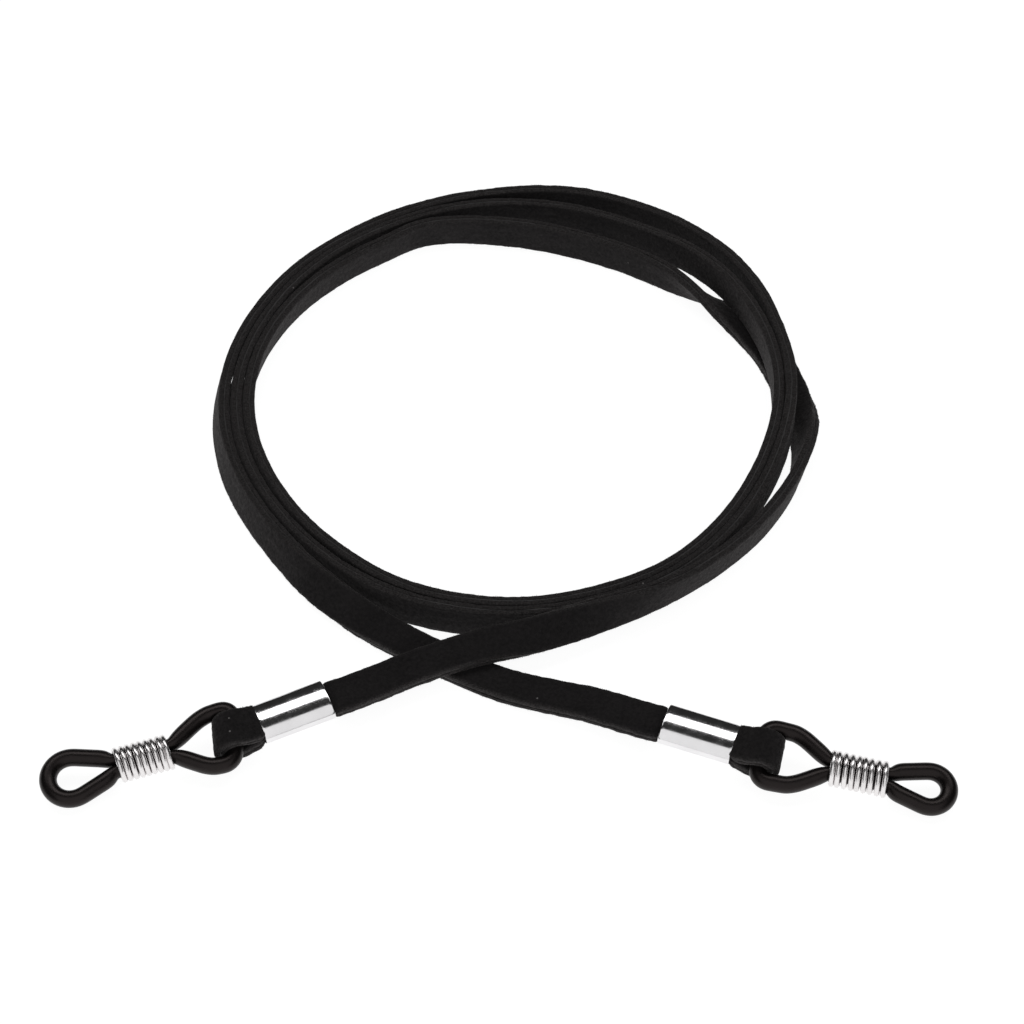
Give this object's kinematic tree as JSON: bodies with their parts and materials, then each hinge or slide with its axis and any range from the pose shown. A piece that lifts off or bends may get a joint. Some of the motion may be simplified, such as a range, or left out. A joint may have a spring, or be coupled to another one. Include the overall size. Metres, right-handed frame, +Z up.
{
  "type": "eyeglass retainer strap",
  "caption": "Flat faux-suede lace laid in loose coils, ending in crimped metal ferrules and rubber temple loops tightened by sliding wire coils.",
  "frame": {"origin": "middle of the whole strap's footprint on the table, at table height", "axes": "+Z up from the table, +Y from the two ends across the coil to its far side, +X towards the right end"},
  "size_m": [0.0984, 0.1042, 0.0062],
  "materials": {
    "suede": "black faux suede, short napped",
    "film": "dark bonding film between the two suede layers",
    "ferrule_steel": "bright nickel plated, lightly rubbed",
    "rubber": "satin black",
    "coil_wire": "bright plated spring wire"
  },
  "bodies": {
    "strap": {"strap_front_suede": "suede", "strap_bonding_film": "film", "strap_back_suede": "suede", "left_ferrule": "ferrule_steel", "right_ferrule": "ferrule_steel"},
    "left_loop": {"left_rubber_loop": "rubber"},
    "left_coil": {"left_coil_slider": "coil_wire"},
    "right_loop": {"right_rubber_loop": "rubber"},
    "right_coil": {"right_coil_slider": "coil_wire"}
  },
  "joints": [
    {"name": "left_loop_swing", "type": "hinge", "parent": "strap", "child": "left_loop", "pos_m": [-0.02866, -0.04226, 0.00289], "axis": [0.128, -0.9559, -0.2645], "range_deg": [-120, 120]},
    {"name": "left_coil_slide", "type": "slide", "parent": "left_loop", "child": "left_coil", "axis": [-0.9542, -0.2936, -0.0576], "range_m": [-0.0015, 0.004], "deforming": ["left_rubber_loop"]},
    {"name": "right_loop_swing", "type": "hinge", "parent": "strap", "child": "right_loop", "pos_m": [0.02836, -0.04487, 0.00289], "axis": [0.2334, 0.9374, 0.2584], "range_deg": [-120, 120]},
    {"name": "right_coil_slide", "type": "slide", "parent": "right_loop", "child": "right_coil", "axis": [0.9724, -0.2263, -0.0576], "range_m": [-0.0015, 0.004], "deforming": ["right_rubber_loop"]}
  ]
}
